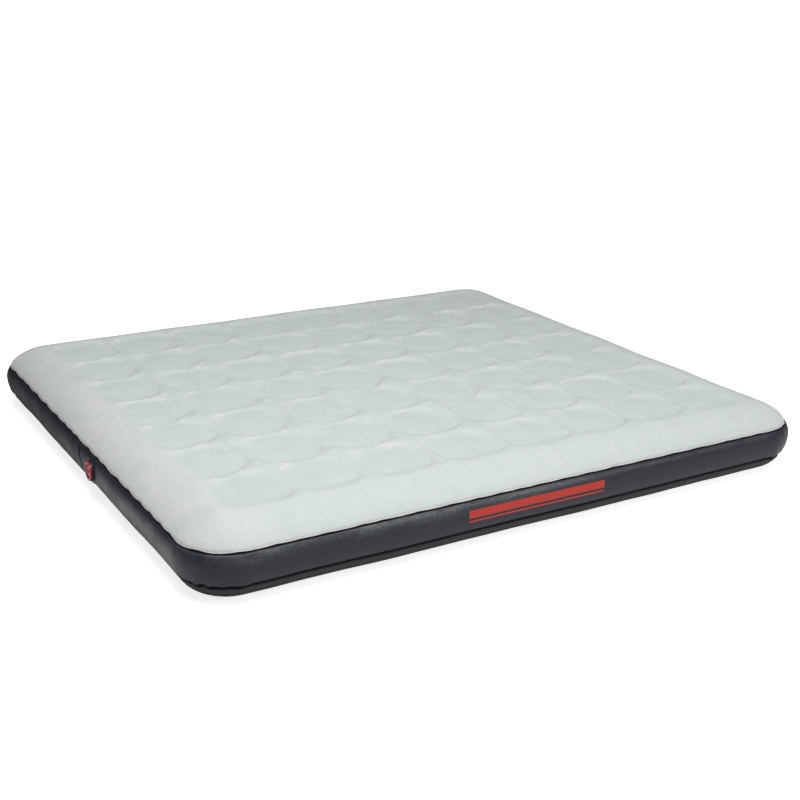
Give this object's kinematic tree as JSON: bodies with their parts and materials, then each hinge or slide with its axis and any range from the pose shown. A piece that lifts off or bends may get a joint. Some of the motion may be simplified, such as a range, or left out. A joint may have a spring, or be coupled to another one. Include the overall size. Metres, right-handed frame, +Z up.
{
  "type": "air mattress",
  "caption": "Inflated double air bed with a flocked dimpled top sheet, a dark vinyl side band and base, welded coils inside and a two-stage screw valve.",
  "frame": {"origin": "on the floor, under the middle of the inflated bed", "axes": "+X along the bed's longer side, away from the end that holds the valve; +Y across the bed; +Z up, out of the flocked top"},
  "size_m": [2.0084, 1.85, 0.2],
  "materials": {
    "flocked_vinyl": "short velvety flock, cool light grey",
    "band_vinyl": "semi-gloss embossed vinyl, charcoal",
    "base_vinyl": "satin vinyl film, dark grey",
    "coil_vinyl": "satin translucent vinyl film",
    "valve_black": "moulded soft vinyl, black",
    "valve_red": "moulded polyethylene, glossy red",
    "soft_rubber": "matt black seal rubber",
    "flap_silicone": "soft milky silicone"
  },
  "bodies": {
    "root": {"top_sheet": "flocked_vinyl", "side_band": "band_vinyl", "bottom_sheet": "base_vinyl", "coil_pair_row1_1": "coil_vinyl", "coil_pair_row1_2": "coil_vinyl", "coil_pair_row1_3": "coil_vinyl", "coil_pair_row1_4": "coil_vinyl", "coil_pair_row2_1": "coil_vinyl", "coil_pair_row2_2": "coil_vinyl", "coil_pair_row2_3": "coil_vinyl", "coil_pair_row2_4": "coil_vinyl", "coil_pair_row3_1": "coil_vinyl", "coil_pair_row3_2": "coil_vinyl", "coil_pair_row3_3": "coil_vinyl", "coil_pair_row3_4": "coil_vinyl", "coil_pair_row4_1": "coil_vinyl", "coil_pair_row4_2": "coil_vinyl", "coil_pair_row4_3": "coil_vinyl", "coil_pair_row4_4": "coil_vinyl", "coil_pair_row5_1": "coil_vinyl", "coil_pair_row5_2": "coil_vinyl", "coil_pair_row5_3": "coil_vinyl", "coil_pair_row5_4": "coil_vinyl", "coil_pair_row6_1": "coil_vinyl", "coil_pair_row6_2": "coil_vinyl", "coil_pair_row6_3": "coil_vinyl", "coil_pair_row6_4": "coil_vinyl", "coil_pair_row7_1": "coil_vinyl", "coil_pair_row7_2": "coil_vinyl", "coil_pair_row7_3": "coil_vinyl", "coil_pair_row7_4": "coil_vinyl", "valve_base": "valve_black"},
    "plug_carrier": {"plug_tether": "valve_black"},
    "plug": {"deflation_plug": "valve_red", "plug_seal": "soft_rubber"},
    "cap_carrier": {"cap_tether": "valve_red"},
    "cap": {"inflation_cap": "valve_red", "cap_seal": "soft_rubber"},
    "flap": {"check_flap": "flap_silicone"}
  },
  "joints": [
    {"name": "plug_travel", "type": "slide", "parent": "root", "child": "plug_carrier", "axis": [-1, 0, 0], "range_m": [0, 0.0081]},
    {"name": "plug_turn", "type": "hinge", "parent": "plug_carrier", "child": "plug", "pos_m": [-1, -0.137, 0.098], "axis": [-1, 0, 0], "range_deg": [0, 720]},
    {"name": "cap_travel", "type": "slide", "parent": "plug", "child": "cap_carrier", "axis": [-1, 0, 0], "range_m": [0, 0.0041]},
    {"name": "cap_turn", "type": "hinge", "parent": "cap_carrier", "child": "cap", "pos_m": [-1, -0.137, 0.098], "axis": [-1, 0, 0], "range_deg": [0, 360]},
    {"name": "flap_lift", "type": "slide", "parent": "plug", "child": "flap", "axis": [1, 0, 0], "range_m": [0, 0.003], "stiffness_N_per_m": 20}
  ],
  "couplings": [
    {"joint": "plug_travel", "follows": "plug_turn", "m_per_rad": 0.00063662},
    {"joint": "cap_travel", "follows": "cap_turn", "m_per_rad": 0.00063662}
  ]
}
